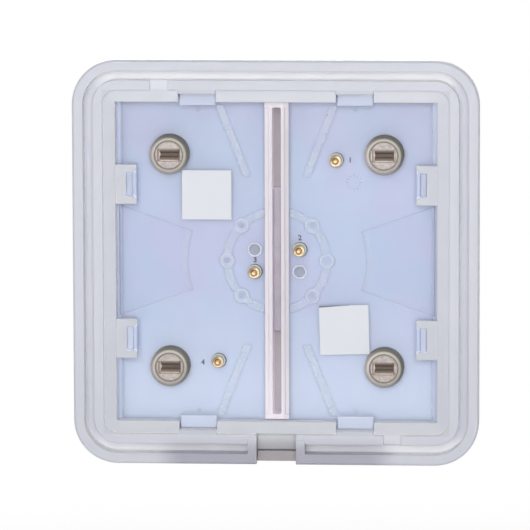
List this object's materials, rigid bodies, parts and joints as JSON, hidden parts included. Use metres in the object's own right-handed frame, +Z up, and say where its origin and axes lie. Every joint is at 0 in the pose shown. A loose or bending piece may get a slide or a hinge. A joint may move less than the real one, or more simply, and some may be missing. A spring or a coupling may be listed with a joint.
{
  "type": "wall switch touch panel",
  "caption": "Square touch panel of a wall switch, open at the rear: milky frame, clear plate over a board, snap sockets, sprung contact pins and a slotted light strip.",
  "frame": {"origin": "centre of the rear plane, which meets the wall", "axes": "+Z up as mounted, +Y out of the open rear side towards the wall, front face towards -Y"},
  "size_m": [0.082, 0.0104, 0.082],
  "materials": {
    "panel_grey": "fine satin",
    "milky": "milky translucent, satin",
    "clear": "clear moulded plastic",
    "board_white": "white solder mask",
    "strip_white": "white satin",
    "guide": "clear bar",
    "nickel": "nickel plated",
    "spring_steel": "plain spring sheet and wire",
    "gold": "gold plated",
    "paper": "smooth white label",
    "chip_black": "moulded black",
    "lamp": "lamp body"
  },
  "bodies": {
    "panel": {"front_panel": "panel_grey", "diffuser_frame": "milky", "clear_carrier": "clear", "touch_board": "board_white", "light_strip_holder": "strip_white", "light_guide": "guide", "socket_shell_1": "nickel", "socket_spring_1": "spring_steel", "socket_shell_2": "nickel", "socket_spring_2": "spring_steel", "socket_shell_3": "nickel", "socket_spring_3": "spring_steel", "socket_shell_4": "nickel", "socket_spring_4": "spring_steel", "contact_barrel_1": "gold", "contact_spring_1": "spring_steel", "contact_barrel_2": "gold", "contact_spring_2": "spring_steel", "contact_barrel_3": "gold", "contact_spring_3": "spring_steel", "contact_barrel_4": "gold", "contact_spring_4": "spring_steel", "label_upper": "paper", "label_lower": "paper", "touch_controller": "chip_black", "guide_lamp_upper": "lamp", "guide_lamp_lower": "lamp"},
    "pin_1": {"contact_plunger_1": "gold"},
    "pin_2": {"contact_plunger_2": "gold"},
    "pin_3": {"contact_plunger_3": "gold"},
    "pin_4": {"contact_plunger_4": "gold"}
  },
  "joints": [
    {"name": "pin_1_press", "type": "slide", "parent": "panel", "child": "pin_1", "axis": [0, -1, 0], "range_m": [0, 0.0009], "stiffness_N_per_m": 300, "springref_m": -0.0008, "deforming": ["contact_spring_1"]},
    {"name": "pin_2_press", "type": "slide", "parent": "panel", "child": "pin_2", "axis": [0, -1, 0], "range_m": [0, 0.0009], "stiffness_N_per_m": 300, "springref_m": -0.0008, "deforming": ["contact_spring_2"]},
    {"name": "pin_3_press", "type": "slide", "parent": "panel", "child": "pin_3", "axis": [0, -1, 0], "range_m": [0, 0.0009], "stiffness_N_per_m": 300, "springref_m": -0.0008, "deforming": ["contact_spring_3"]},
    {"name": "pin_4_press", "type": "slide", "parent": "panel", "child": "pin_4", "axis": [0, -1, 0], "range_m": [0, 0.0009], "stiffness_N_per_m": 300, "springref_m": -0.0008, "deforming": ["contact_spring_4"]}
  ]
}
